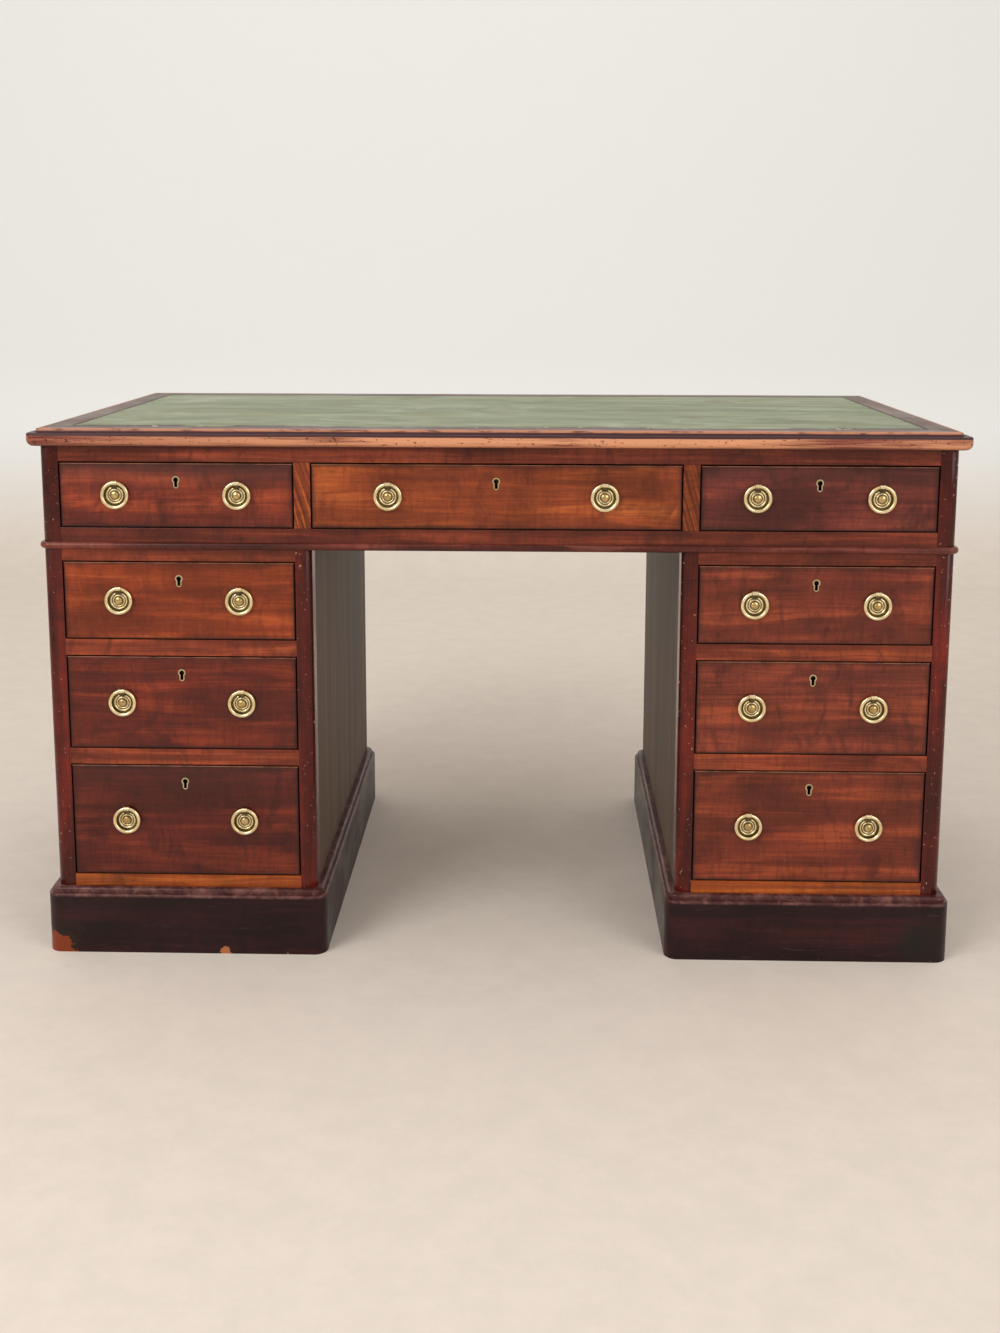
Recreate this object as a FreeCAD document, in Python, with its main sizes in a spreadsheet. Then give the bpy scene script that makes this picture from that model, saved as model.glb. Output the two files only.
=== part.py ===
import FreeCAD, Part
import os
import re
import Sketcher
from FreeCAD import Placement, Rotation, Vector

# Twin-pedestal writing desk. Millimetres, +Z up, origin on the floor under the middle of the desk,
# front towards -Y. Left and right are as seen from the front.

# Driving dimensions
SIZES = {
    # Overall
    "desk_width": 1300,
    "desk_depth": 670,
    "top_overhang": 15,
    "kneehole_width": 516,
    # Writing top: nosed mahogany border round a ground board with a leather skiver
    "top_thickness": 24,
    "nose_height": 18.5,
    "nose_flat": 0.6,
    "nose_inset": 13.5,
    "nose_corner_radius": 13,
    "cove_radius": 3,
    "border_width": 50,
    "mitre_kerf": 0.12,
    "leather_thickness": 1.2,
    "leather_recess": 0.4,
    "leather_gap": 0.4,
    # Frieze that holds the three shallow drawers
    "frieze_top_rail_height": 22,
    "frieze_opening": 93,
    "frieze_bottom_rail_height": 30,
    "bead_height": 10,
    "bead_projection": 6,
    "bead_flat": 0.4,
    # Carcase timber
    "post_width": 26,
    "inner_post_width": 23,
    "post_depth": 34,
    "post_corner_radius": 11,
    "panel_thickness": 19,
    "panel_setback": 1,
    "rail_depth": 55,
    "back_thickness": 12,
    "board_thickness": 12,
    # Pedestals, from the floor up
    "plinth_height": 96,
    "plinth_projection": 14,
    "plinth_board": 34,
    "plinth_corner_radius": 19,
    "plinth_face_height": 88.5,
    "plinth_bead_radius": 3.2,
    "plinth_step": 5,
    "plinth_round": 3.6,
    "bottom_rail_height": 18,
    "lower_opening": 166,
    "mid_rail_height": 23,
    "middle_opening": 137,
    "upper_opening": 113,
    "top_rail_height": 17,
    # Runners, guides and stops
    "runner_width": 24,
    "runner_thickness": 16,
    "guide_height": 20,
    "stop_length": 30,
    "stop_depth": 8,
    "stop_height": 5,
    "stop_inset": 60,
    # Drawers
    "drawer_side_gap": 1.8,
    "drawer_top_gap": 2.2,
    "drawer_foot_gap": 1.2,
    "drawer_running_gap": 0.3,
    "front_thickness": 20,
    "front_arris": 0.9,
    "side_thickness": 9.5,
    "side_drop": 7,
    "tail_gap": 14,
    "bottom_thickness": 7,
    "bottom_lift": 9,
    # Ring handles
    "handle_spacing": 170,
    "wide_handle_spacing": 300,
    "ring_radius": 17.4,
    "ring_wire_radius": 2.5,
    "ring_pin_radius": 1.6,
    "pin_clearance": 0.05,
    "ring_standoff": 4.7,
    "lug_width": 8.2,
    "lug_wall": 1.5,
    "lug_side_gap": 0.35,
    "plate_radius": 16.6,
    "plate_thickness": 1.0,
    "rosette_radius": 12.3,
    "rosette_thickness": 2.6,
    "rim_radius": 1.2,
    "turning_radius": 7.6,
    "turning_wire_radius": 0.9,
    "boss_radius": 4.9,
    "boss_height": 5.2,
    "boss_dome": 1.4,
    "stem_radius": 2.4,
    "stem_clearance": 0.15,
    "nut_radius": 6,
    "nut_thickness": 4,
    # Locks and keyhole linings
    "keyhole_drop": 25,
    "keyhole_head_radius": 3.3,
    "keyhole_slot_width": 3.2,
    "keyhole_length": 10,
    "lining_wall": 2,
    "lining_depth": 6,
    "lining_proud": 0.3,
    "lining_fit": 0.02,
    "lock_width": 62,
    "lock_height": 36,
    "lock_thickness": 11,
    "lock_top_gap": 3,
    "key_pin_radius": 1.1,
    "key_pin_length": 16,
    # Length by which every cutting tool runs past the face that it cuts
    "overrun": 2,
}

doc = FreeCAD.newDocument("pedestal_desk")
sheet = doc.addObject("Spreadsheet::Sheet", "Sizes")
for row, (alias, value) in enumerate(SIZES.items(), start=1):
    sheet.set(f"A{row}", alias)
    sheet.set(f"B{row}", str(value))
    sheet.setAlias(f"B{row}", alias)
doc.recompute()


def formula(text):
    """The text with every size name pointing at its spreadsheet cell."""
    return re.sub(r"[a-z][a-z_]+", lambda m: f"Sizes.{m[0]}" if m[0] in SIZES else m[0], text)


# Levels and faces, as formulas of the driving dimensions
CARCASE_WIDTH = "(desk_width - 2 * top_overhang)"
CARCASE_DEPTH = "(desk_depth - 2 * top_overhang)"
FRONT = f"(-{CARCASE_DEPTH} / 2)"
BACK = f"({CARCASE_DEPTH} / 2)"
LOWER_Z = "(plinth_height + bottom_rail_height)"
MIDDLE_Z = f"({LOWER_Z} + lower_opening + mid_rail_height)"
UPPER_Z = f"({MIDDLE_Z} + middle_opening + mid_rail_height)"
WAIST_Z = f"({UPPER_Z} + upper_opening + top_rail_height)"
FRIEZE_Z = f"({WAIST_Z} + frieze_bottom_rail_height)"
FRIEZE_HEIGHT = "(frieze_bottom_rail_height + frieze_opening + frieze_top_rail_height)"
TOP_Z = f"({WAIST_Z} + {FRIEZE_HEIGHT})"
SIDE_OPENING = f"(({CARCASE_WIDTH} - kneehole_width) / 2 - post_width - inner_post_width)"
SIDE_CENTRE = f"(kneehole_width / 2 + inner_post_width + {SIDE_OPENING} / 2)"
PEDESTAL_CENTRE = f"(({CARCASE_WIDTH} + kneehole_width) / 4)"
PEDESTAL_WIDTH = f"(({CARCASE_WIDTH} - kneehole_width) / 2)"
RUNNER_DEPTH = f"({CARCASE_DEPTH} - rail_depth - back_thickness)"

Z_UP = Rotation()
TO_FRONT = Rotation(Vector(1, 0, 0), 90)
TO_RIGHT = Rotation(Vector(0, 1, 0), 90)

subparts = {}


def bind(obj, **formulas):
    """Bind properties of obj, with __ written for a dot, to formulas of the sheet."""
    for path, text in formulas.items():
        obj.setExpression(path.replace("__", "."), formula(text))


def solid(kind, name, at, turn=Z_UP, **formulas):
    """A Part primitive at a place and of a size that follow the sheet."""
    obj = doc.addObject(kind, name)
    obj.Placement = Placement(Vector(), turn)
    x, y, z = at
    bind(obj, Placement__Base__x=x, Placement__Base__y=y, Placement__Base__z=z, **formulas)
    return obj


def board(name, x, y, z):
    """A square-edged board: x, y and z are pairs of a low face and a size."""
    sizes = {"Length": x[1], "Width": y[1], "Height": z[1]}
    return solid("Part::Box", name, (x[0], y[0], z[0]), **sizes)


def rod(name, at, turn, radius, length):
    return solid("Part::Cylinder", name, at, turn, Radius=radius, Height=length)


def cut(name, base, *tools):
    obj = doc.addObject("Part::Cut", name)
    obj.Base = base
    obj.Tool = tools[0] if len(tools) == 1 else fuse(f"{name}_tools", *tools)
    return obj


def fuse(name, *shapes):
    obj = doc.addObject("Part::MultiFuse", name)
    obj.Shapes = list(shapes)
    return obj


def subpart(label, *pieces):
    """File the pieces, each its own solid, as the sub-part with this label."""
    if len(pieces) == 1:
        obj = pieces[0]
    else:
        obj = doc.addObject("Part::Compound", label)
        obj.Links = list(pieces)
    obj.Label = label
    subparts[label] = obj


def plan_sketch(body, name, width, depth, level="0"):
    """A rectangle round the body's own Z axis, at a level above its XY plane."""
    sketch = body.newObject("Sketcher::SketchObject", name)
    plane = [f for f in body.Origin.OriginFeatures if f.Role == "XY_Plane"][0]
    sketch.AttachmentSupport = (plane, "")
    sketch.MapMode = "FlatFace"
    bind(sketch, AttachmentOffset__Base__z=level)
    corners = [Vector(-1, -1), Vector(1, -1), Vector(1, 1), Vector(-1, 1)]
    for start, end in zip(corners, corners[1:] + corners[:1]):
        sketch.addGeometry(Part.LineSegment(start, end))
    for side in range(4):
        sketch.addConstraint(Sketcher.Constraint("Coincident", side, 2, (side + 1) % 4, 1))
        sketch.addConstraint(Sketcher.Constraint("Vertical" if side % 2 else "Horizontal", side))
    sketch.addConstraint(Sketcher.Constraint("Symmetric", 0, 1, 2, 1, -1, 1))
    wide = sketch.addConstraint(Sketcher.Constraint("DistanceX", 0, 1, 0, 2, 2))
    deep = sketch.addConstraint(Sketcher.Constraint("DistanceY", 1, 1, 1, 2, 2))
    sketch.setExpression(f"Constraints[{wide}]", formula(width))
    sketch.setExpression(f"Constraints[{deep}]", formula(depth))
    return sketch


def pad(body, name, width, depth, level, length):
    feature = body.newObject("PartDesign::Pad", name)
    feature.Profile = plan_sketch(body, f"{name}_plan", width, depth, level)
    bind(feature, Length=length)
    doc.recompute()
    return feature


def pocket_through(body, name, width, depth):
    """Cut the middle out of the body, upwards from its base."""
    feature = body.newObject("PartDesign::Pocket", name)
    feature.Profile = plan_sketch(body, f"{name}_plan", width, depth)
    feature.Type = "ThroughAll"
    feature.Reversed = True
    doc.recompute()
    return feature


def fillet(body, name, radius, chosen):
    """Round the edges of the body's tip that the function chosen picks by their bounding box."""
    tip = body.Tip
    edges = [f"Edge{n}" for n, edge in enumerate(tip.Shape.Edges, 1) if chosen(edge.BoundBox)]
    feature = body.newObject("PartDesign::Fillet", name)
    feature.Base = (tip, edges)
    bind(feature, Radius=radius)
    doc.recompute()
    return feature


def size(text):
    """The present value of a formula, where a shape is drawn or an edge is picked by its place."""
    words = re.sub(r"[a-z][a-z_]+", lambda m: str(float(sheet.get(m[0]))), text)
    return FreeCAD.Units.Quantity(words).Value


TOUCH = 1e-4


def upright(box):
    return box.XLength < TOUCH and box.YLength < TOUCH


def at_level(level):
    """Picks the edges that lie flat at a level above the body's base."""
    return lambda box: box.ZLength < TOUCH and abs(box.ZMin - level) < TOUCH


def new_body(name, x, y, z):
    body = doc.addObject("PartDesign::Body", name)
    bind(body, Placement__Base__x=x, Placement__Base__y=y, Placement__Base__z=z)
    return body


def mitred(name, body, centre_x, width, depth, height, border):
    """The four lengths of a moulded frame, parted at the corners by a saw kerf."""
    base_z = f"{height[0]} - overrun"
    kerfs = []
    corners = ((-1, -1, 45), (1, -1, 135), (1, 1, 225), (-1, 1, 315))
    for n, (side_x, side_y, angle) in enumerate(corners):
        turn = Rotation(Vector(0, 0, 1), angle)
        at = (f"{centre_x} + {side_x} * {width} / 2", f"{side_y} * {depth} / 2", base_z)
        long = f"({border}) * sqrt(2) + overrun"
        sizes = {"Length": long, "Width": "mitre_kerf", "Height": f"{height[1]} + 2 * overrun"}
        kerfs.append(solid("Part::Box", f"{name}_kerf_{n}", at, turn, **sizes))
    return cut(name, body, *kerfs)


# Writing top
def writing_top():
    body = new_body("top_border_blank", "0", "0", TOP_Z)
    pad(body, "nose_slab", "desk_width", "desk_depth", "0", "nose_height")
    fillet(body, "nose_corners", "nose_corner_radius", upright)
    flat = [f"({side} - 2 * nose_inset)" for side in ("desk_width", "desk_depth")]
    pad(body, "upper_fillet", *flat, "nose_height", "top_thickness - nose_height")
    nose = size("nose_height")
    step_x = size(f"{flat[0]} / 2")
    fillet(body, "cove", "cove_radius", lambda box: at_level(nose)(box) and box.XMax < step_x + TOUCH)
    nose_radius = "(nose_height - nose_flat) / 2"
    fillet(body, "nose", nose_radius, lambda box: (
        at_level(0)(box) or (at_level(nose)(box) and outside_of(box, step_x + size("cove_radius")))))
    inner = [f"({side} - 2 * border_width)" for side in ("desk_width", "desk_depth")]
    pocket_through(body, "well", *inner)
    frame_z = (TOP_Z, "top_thickness")
    border = mitred("writing_top_border", body, "0", "desk_width", "desk_depth", frame_z, "border_width")
    subpart("writing_top_border", border)
    ground_thickness = "(top_thickness - leather_thickness - leather_recess)"
    x, y = ((f"-{side} / 2", side) for side in inner)
    subpart("writing_top_ground", board("writing_top_ground", x, y, (TOP_Z, ground_thickness)))
    x, y = ((f"-{side} / 2 + leather_gap", f"{side} - 2 * leather_gap") for side in inner)
    z = (f"{TOP_Z} + {ground_thickness}", "leather_thickness")
    subpart("leather_skiver", board("leather_skiver", x, y, z))


def outside_of(box, half_width):
    """True for an edge whose far corner lies beyond half_width from the body's axis along X."""
    return max(abs(box.XMin), abs(box.XMax)) > half_width + TOUCH


def corner_post(name, low_x, width, low_z, height, rounded_side):
    """An upright with its front corner rounded on the side that faces out."""
    body = new_body(name, f"{low_x} + {width} / 2", f"{FRONT} + post_depth / 2", low_z)
    pad(body, f"{name}_blank", width, "post_depth", "0", height)
    fillet(body, f"{name}_round", "post_corner_radius", lambda box: (
        upright(box) and box.YMin < 0 and box.XMin * rounded_side > 0))
    return body


def mirrored_low(low, width, side):
    """The low face of a piece that starts at low on the right, or of its mirror image."""
    return low if side > 0 else f"-({low}) - ({width})"


def frieze():
    outer = f"({CARCASE_WIDTH} / 2)"
    ends = []
    dividers = []
    for side, word in ((-1, "left"), (1, "right")):
        low = mirrored_low(f"{outer} - post_width", "post_width", side)
        ends.append(corner_post(f"frieze_post_{word}", low, "post_width", WAIST_Z, FRIEZE_HEIGHT, side))
        x = (mirrored_low(f"{outer} - panel_setback - panel_thickness", "panel_thickness", side),
             "panel_thickness")
        y = (f"{FRONT} + post_depth", f"{CARCASE_DEPTH} - post_depth")
        ends.append(board(f"frieze_end_{word}", x, y, (WAIST_Z, FRIEZE_HEIGHT)))
        x = (mirrored_low("kneehole_width / 2", "inner_post_width", side), "inner_post_width")
        y = (FRONT, f"{CARCASE_DEPTH} - back_thickness")
        dividers.append(board(f"frieze_divider_{word}", x, y, (FRIEZE_Z, "frieze_opening")))
    subpart("frieze_ends", *ends)
    subpart("frieze_dividers", *dividers)
    x = (f"-{outer} + post_width", f"{CARCASE_WIDTH} - 2 * post_width")
    y = (FRONT, "rail_depth")
    rails = [board("frieze_rail_bottom", x, y, (WAIST_Z, "frieze_bottom_rail_height"))]
    top_rail_z = (f"{FRIEZE_Z} + frieze_opening", "frieze_top_rail_height")
    rails.append(board("frieze_rail_top", x, y, top_rail_z))
    subpart("frieze_rails", *rails)
    inset = "(panel_setback + panel_thickness)"
    x = (f"-{outer} + {inset}", f"{CARCASE_WIDTH} - 2 * {inset}")
    y = (f"{BACK} - back_thickness", "back_thickness")
    subpart("frieze_back", board("frieze_back", x, y, (WAIST_Z, FRIEZE_HEIGHT)))


def waist_bead():
    """Half-round moulding round the foot of the frieze."""
    body = new_body("waist_bead_blank", "0", "0", WAIST_Z)
    wide = f"({CARCASE_WIDTH} + 2 * bead_projection)"
    deep = f"({CARCASE_DEPTH} + 2 * bead_projection)"
    pad(body, "bead_slab", wide, deep, "0", "bead_height")
    fillet(body, "bead_corners", "post_corner_radius + bead_projection", upright)
    height = size("bead_height")
    fillet(body, "bead_round", "(bead_height - bead_flat) / 2",
           lambda box: at_level(0)(box) or at_level(height)(box))
    seat = new_body("bead_seat", "0", "0", f"{WAIST_Z} - overrun")
    pad(seat, "bead_seat_slab", CARCASE_WIDTH, CARCASE_DEPTH, "0", "bead_height + 2 * overrun")
    fillet(seat, "bead_seat_corners", "post_corner_radius", lambda box: upright(box) and box.YMin < 0)
    ring_blank = cut("waist_bead_ring", body, seat)
    border = "bead_projection + post_corner_radius"
    lengths = mitred("waist_bead", ring_blank, "0", wide, deep, (WAIST_Z, "bead_height"), border)
    subpart("waist_bead", lengths)


def opening_frame(name, centre, low_z, width, guided):
    """Runners, guides and stops that carry one drawer; guided lists the sides with a guide."""
    pieces = []
    y = (f"{FRONT} + rail_depth", RUNNER_DEPTH)
    for side, word in ((-1, "left"), (1, "right")):
        edge = f"{width} / 2"
        reach = guided.get(side, "0")
        low = mirrored_low(f"{edge} - runner_width", f"(runner_width + {reach})", side)
        x = (f"{centre} + {low}", f"runner_width + {reach}")
        pieces.append(board(f"{name}_runner_{word}", x, y, (f"{low_z} - runner_thickness", "runner_thickness")))
        if side in guided:
            x = (f"{centre} + {mirrored_low(edge, reach, side)}", reach)
            pieces.append(board(f"{name}_guide_{word}", x, y, (low_z, "guide_height")))
        low = mirrored_low(f"{edge} - stop_inset - stop_length", "stop_length", side)
        stop_y = (f"{FRONT} + front_thickness + drawer_running_gap", "stop_depth")
        x = (f"{centre} + {low}", "stop_length")
        pieces.append(board(f"{name}_stop_{word}", x, stop_y, (low_z, "stop_height")))
    return pieces


POST_GUIDE = "(post_width - panel_setback - panel_thickness)"
INNER_GUIDE = "(inner_post_width - panel_setback - panel_thickness)"


def frieze_runners():
    pieces = opening_frame("frieze_centre", "0", FRIEZE_Z, "kneehole_width", {})
    for side, word in ((-1, "left"), (1, "right")):
        centre = f"({side} * {SIDE_CENTRE})"
        pieces += opening_frame(f"frieze_{word}", centre, FRIEZE_Z, SIDE_OPENING, {side: POST_GUIDE})
    subpart("frieze_runners", *pieces)


def pedestal(side, word):
    """One pedestal: posts, panels and back; rails, runners and boards; and its plinth."""
    height = f"({WAIST_Z} - plinth_height)"
    inner = "(kneehole_width / 2)"
    outer = f"({CARCASE_WIDTH} / 2)"
    shell = []
    faces = {
        "outer": (f"{outer} - post_width", "post_width", f"{outer} - panel_setback - panel_thickness", side),
        "inner": (inner, "inner_post_width", f"{inner} + panel_setback", -side),
    }
    panel_y = (f"{FRONT} + post_depth", f"{CARCASE_DEPTH} - post_depth")
    for face, (post_low, post, panel_low, rounded_side) in faces.items():
        low = mirrored_low(post_low, post, side)
        name = f"{word}_post_{face}"
        shell.append(corner_post(name, low, post, "plinth_height", height, rounded_side))
        x = (mirrored_low(panel_low, "panel_thickness", side), "panel_thickness")
        shell.append(board(f"{word}_panel_{face}", x, panel_y, ("plinth_height", height)))
    inset = "(panel_setback + panel_thickness)"
    inside = f"({PEDESTAL_WIDTH} - 2 * {inset})"
    inside_x = (mirrored_low(f"{inner} + {inset}", inside, side), inside)
    back_y = (f"{BACK} - back_thickness", "back_thickness")
    shell.append(board(f"{word}_back", inside_x, back_y, ("plinth_height", height)))
    subpart(f"{word}_pedestal_carcase", *shell)

    rail_x = (mirrored_low(f"{inner} + inner_post_width", SIDE_OPENING, side), SIDE_OPENING)
    rail_y = (FRONT, "rail_depth")
    rails = {
        "bottom": ("plinth_height", "bottom_rail_height"),
        "lower": (f"{MIDDLE_Z} - mid_rail_height", "mid_rail_height"),
        "upper": (f"{UPPER_Z} - mid_rail_height", "mid_rail_height"),
        "top": (f"{WAIST_Z} - top_rail_height", "top_rail_height"),
    }
    pieces = [board(f"{word}_rail_{place}", rail_x, rail_y, z) for place, z in rails.items()]
    board_y = (f"{FRONT} + rail_depth", RUNNER_DEPTH)
    pieces.append(board(f"{word}_top_board", inside_x, board_y, (f"{WAIST_Z} - board_thickness", "board_thickness")))
    centre = f"({side} * {SIDE_CENTRE})"
    guided = {side: POST_GUIDE, -side: INNER_GUIDE}
    for place, low_z in (("lower", LOWER_Z), ("middle", MIDDLE_Z), ("upper", UPPER_Z)):
        pieces += opening_frame(f"{word}_{place}", centre, low_z, SIDE_OPENING, guided)
    subpart(f"{word}_pedestal_frame", *pieces)
    subpart(f"{word}_plinth", plinth(side, word))


def plinth(side, word):
    """Moulded plinth of four mitred boards under one pedestal."""
    centre = f"({side} * {PEDESTAL_CENTRE})"
    body = new_body(f"{word}_plinth_blank", centre, "0", "0")
    wide = f"({PEDESTAL_WIDTH} + 2 * plinth_projection)"
    deep = f"({CARCASE_DEPTH} + 2 * plinth_projection)"
    pad(body, f"{word}_plinth_face", wide, deep, "0", "plinth_face_height")
    step_wide = f"({wide} - 2 * plinth_step)"
    step_deep = f"({deep} - 2 * plinth_step)"
    step = "(plinth_height - plinth_face_height)"
    pad(body, f"{word}_plinth_step", step_wide, step_deep, "plinth_face_height", step)
    face = size("plinth_face_height")
    step_x = size(f"{step_wide} / 2")
    fillet(body, f"{word}_plinth_step_corners", "plinth_corner_radius - plinth_step", lambda box: (
        upright(box) and box.ZMax > face + TOUCH))
    fillet(body, f"{word}_plinth_corners", "plinth_corner_radius", lambda box: (
        upright(box) and box.ZMin < TOUCH))
    fillet(body, f"{word}_plinth_bead", "plinth_bead_radius", lambda box: (
        at_level(face)(box) and box.XMax - step_x > TOUCH))
    fillet(body, f"{word}_plinth_round", "plinth_round", at_level(size("plinth_height")))
    pocket_through(body, f"{word}_plinth_well", f"({wide} - 2 * plinth_board)", f"({deep} - 2 * plinth_board)")
    return mitred(f"{word}_plinth", body, centre, wide, deep, ("0", "plinth_height"), "plinth_board")


def keyhole(name, x, y, z, wall, depth):
    """Keyhole-shaped plug: a round head over a slot with a round foot, grown by a wall."""
    drop = "(keyhole_length - keyhole_slot_width / 2)"
    head = rod(f"{name}_head", (x, y, z), TO_FRONT, f"keyhole_head_radius + {wall}", depth)
    foot = rod(f"{name}_foot", (x, y, f"{z} - {drop}"), TO_FRONT, f"keyhole_slot_width / 2 + {wall}", depth)
    wide = f"(keyhole_slot_width + 2 * {wall})"
    slot = board(f"{name}_slot", (f"{x} - {wide} / 2", wide), (f"{y} - ({depth})", depth), (f"{z} - {drop}", drop))
    return fuse(name, head, foot, slot)


def drawer(name, x, low_z, opening_width, opening_height, spacing):
    """A dovetailed drawer with its lock and two ring handles."""
    width = f"({opening_width} - 2 * drawer_side_gap)"
    front_z = f"({low_z} + drawer_foot_gap)"
    height = f"({opening_height} - drawer_foot_gap - drawer_top_gap)"
    keyhole_z = f"({low_z} + {opening_height} - keyhole_drop)"
    handle_z = f"({low_z} + {opening_height} / 2)"
    low_x = f"{x} - {width} / 2"
    inner_face = f"({FRONT} + front_thickness)"

    slab = board(f"{name}_slab", (low_x, width), (FRONT, "front_thickness"), (front_z, height))
    rounded = doc.addObject("Part::Fillet", f"{name}_eased")
    rounded.Base = slab
    doc.recompute()
    face_y = size(FRONT)
    arris = size("front_arris")
    rounded.Edges = [(n, arris, arris) for n, edge in enumerate(slab.Shape.Edges, 1)
                     if abs(edge.BoundBox.YMin - face_y) < TOUCH and edge.BoundBox.YLength < TOUCH]
    seat_y = f"({FRONT} + lining_depth)"
    seat = keyhole(f"{name}_seat", x, seat_y, keyhole_z, "(lining_wall + lining_fit)", "lining_depth + overrun")
    key_way = keyhole(f"{name}_key_way", x, f"({inner_face} + overrun)", keyhole_z, "0",
                      "front_thickness + overrun")
    holes = []
    for side, word in ((-1, "left"), (1, "right")):
        at = (f"{x} + {side} * {spacing} / 2", f"{inner_face} + overrun", handle_z)
        holes.append(rod(f"{name}_bolt_hole_{word}", at, TO_FRONT, "stem_radius + stem_clearance",
                         "front_thickness + 2 * overrun"))
    subpart(f"{name}_front", cut(f"{name}_front", rounded, seat, key_way, *holes))

    drawer_box(name, x, low_z, opening_width, opening_height)
    brass = [lock(name, x, inner_face, keyhole_z, f"({front_z} + {height})")]
    outer = keyhole(f"{name}_lining_outer", x, seat_y, keyhole_z, "lining_wall", "lining_depth + lining_proud")
    inner = keyhole(f"{name}_lining_inner", x, f"({seat_y} + overrun)", keyhole_z, "0",
                    "lining_depth + 2 * overrun + lining_proud")
    brass.append(cut(f"{name}_lining", outer, inner))
    for side, word in ((-1, "left"), (1, "right")):
        handle_x = f"({x} + {side} * {spacing} / 2)"
        brass.append(rosette(f"{name}_{word}", handle_x, handle_z))
        nut_at = (handle_x, f"{inner_face} + nut_thickness", handle_z)
        nut_blank = rod(f"{name}_{word}_nut_blank", nut_at, TO_FRONT, "nut_radius", "nut_thickness")
        thread_at = (handle_x, f"{inner_face} + nut_thickness + overrun", handle_z)
        thread = rod(f"{name}_{word}_thread", thread_at, TO_FRONT, "stem_radius + stem_clearance",
                     "nut_thickness + 2 * overrun")
        brass.append(cut(f"{name}_{word}_nut", nut_blank, thread))
        subpart(f"{name}_ring_{word}", ring(f"{name}_{word}", handle_x, handle_z))
    subpart(f"{name}_brassware", *brass)


def drawer_box(name, x, low_z, opening_width, opening_height):
    """Sides, back and bottom behind the front."""
    running_z = f"({low_z} + drawer_running_gap)"
    side_height = f"({opening_height} - drawer_running_gap - side_drop)"
    depth = f"({CARCASE_DEPTH} - front_thickness - back_thickness - tail_gap)"
    inner_face = f"({FRONT} + front_thickness)"
    half = f"({opening_width} / 2 - drawer_side_gap)"
    inside = f"(2 * {half} - 2 * side_thickness)"
    pieces = []
    for side, word in ((-1, "left"), (1, "right")):
        low = mirrored_low(f"{half} - side_thickness", "side_thickness", side)
        side_x = (f"{x} + {low}", "side_thickness")
        pieces.append(board(f"{name}_side_{word}", side_x, (inner_face, depth), (running_z, side_height)))
    inside_x = (f"{x} - {inside} / 2", inside)
    bottom_z = f"({running_z} + bottom_lift)"
    pieces.append(board(f"{name}_bottom", inside_x, (inner_face, depth), (bottom_z, "bottom_thickness")))
    back_y = (f"{inner_face} + {depth} - side_thickness", "side_thickness")
    back_z = (f"{bottom_z} + bottom_thickness", f"{side_height} - bottom_lift - bottom_thickness")
    pieces.append(board(f"{name}_back", inside_x, back_y, back_z))
    subpart(f"{name}_box", *pieces)


def lock(name, x, inner_face, keyhole_z, front_top):
    """Lock case screwed behind the front, with the pin that the key turns on."""
    case_top = f"({front_top} - lock_top_gap)"
    case = board(f"{name}_lock_case", (f"{x} - lock_width / 2", "lock_width"),
                 (inner_face, "lock_thickness"), (f"{case_top} - lock_height", "lock_height"))
    pin = rod(f"{name}_key_pin", (x, f"{inner_face} + overrun", keyhole_z), TO_FRONT,
              "key_pin_radius", "key_pin_length")
    return fuse(f"{name}_lock", case, pin)


def turned_rosette(name, x, z):
    """Back plate, beaded disc, boss and bolt, turned in one about the axis of the bolt."""
    plate = size("plate_thickness")
    floor = plate + size("rosette_thickness - rim_radius")
    rim = size("rim_radius")
    edge = size("rosette_radius")
    bead = size("turning_wire_radius")
    turning = size("turning_radius")
    boss = size("boss_radius")
    shoulder = plate + size("boss_height - boss_dome")
    stem = size("stem_radius")
    tail = -size("front_thickness + nut_thickness")
    outline = [
        (0, tail), (stem, tail), (stem, 0), (size("plate_radius"), 0), (size("plate_radius"), plate),
        (edge, plate), (edge, floor), ("over", edge - rim, floor + rim), (edge - 2 * rim, floor),
        (turning + bead, floor), ("over", turning, floor + bead), (turning - bead, floor),
        (boss, floor), (boss, shoulder),
    ]
    edges = []
    last = Vector(0, 0, tail)
    middle = None
    for point in outline[1:]:
        if point[0] == "over":
            middle = Vector(point[1], 0, point[2])
            continue
        here = Vector(point[0], 0, point[1])
        edges.append((Part.Arc(last, middle, here) if middle else Part.LineSegment(last, here)).toShape())
        last, middle = here, None
    crown = Vector(0, 0, plate + size("boss_height"))
    radius = (boss**2 + size("boss_dome")**2) / (2 * size("boss_dome"))
    half = boss / 2
    on_dome = Vector(half, 0, crown.z - radius + (radius**2 - half**2) ** 0.5)
    edges.append(Part.Arc(last, on_dome, crown).toShape())
    edges.append(Part.LineSegment(crown, Vector(0, 0, tail)).toShape())
    obj = doc.addObject("Part::Feature", f"{name}_turned")
    obj.Shape = Part.Face(Part.Wire(edges)).revolve(Vector(), Vector(0, 0, 1), 360)
    obj.Placement = Placement(Vector(), TO_FRONT)
    bind(obj, Placement__Base__x=x, Placement__Base__y=FRONT, Placement__Base__z=z)
    return obj


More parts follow.
